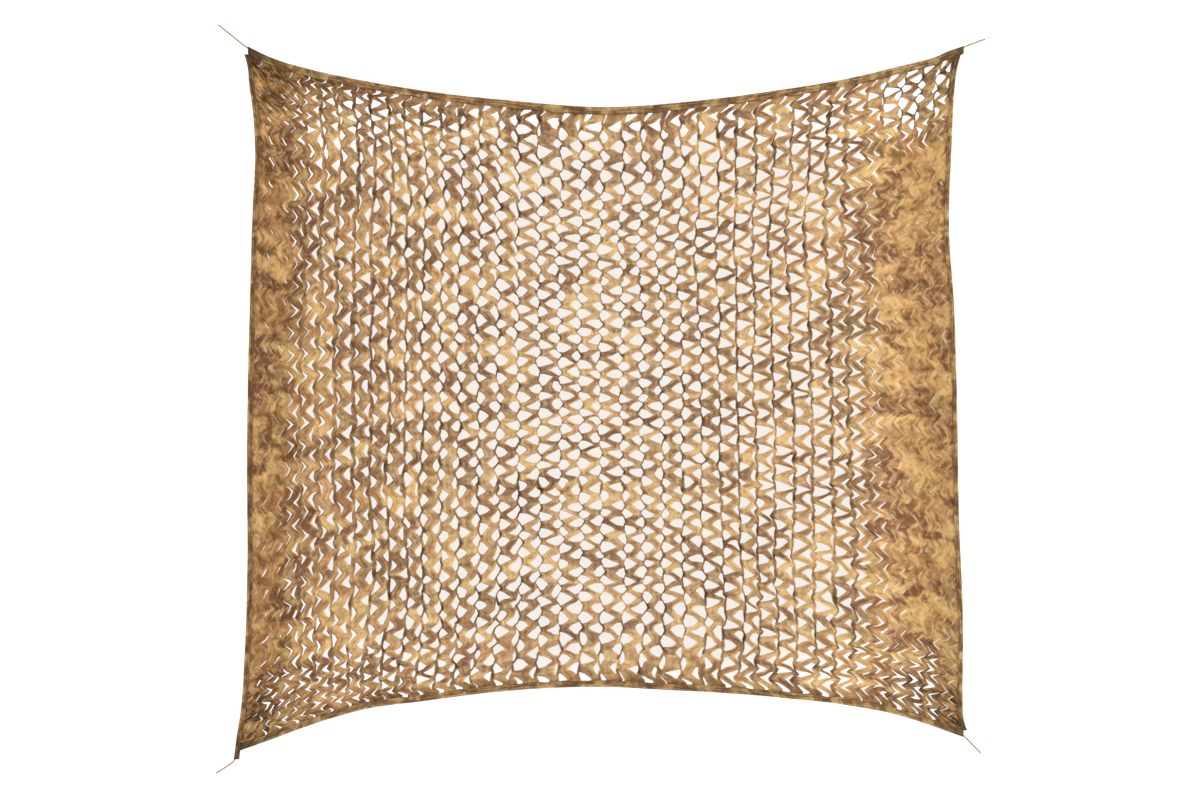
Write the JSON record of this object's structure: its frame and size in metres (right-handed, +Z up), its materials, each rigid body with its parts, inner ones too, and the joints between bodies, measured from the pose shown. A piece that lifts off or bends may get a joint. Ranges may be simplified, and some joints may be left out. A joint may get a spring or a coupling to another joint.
{
  "type": "camouflage netting",
  "caption": "Slit cloth pulled open into a net, with folded bindings on its four bowed edges and a short tie cord at each corner; it screens or covers what is behind it.",
  "frame": {"origin": "middle of the top binding's upper edge, at the mount that names what holds the net up", "axes": "+X along the net to the right as seen from its face, +Y through the cloth to its back, +Z up"},
  "size_m": [2.1548, 0.0216, 2.0983],
  "materials": {
    "net_cloth": "matt printed cloth in sand, tan and brown",
    "binding_cloth": "the same printed cloth, folded over and stitched",
    "cord": "pale twisted cord, matt"
  },
  "bodies": {
    "root": {"net_panel": "net_cloth", "binding_top": "binding_cloth", "binding_bottom": "binding_cloth", "binding_left": "binding_cloth", "binding_right": "binding_cloth", "tie_cord_tl": "cord", "tie_cord_tr": "cord", "tie_cord_bl": "cord", "tie_cord_br": "cord"}
  },
  "joints": []
}
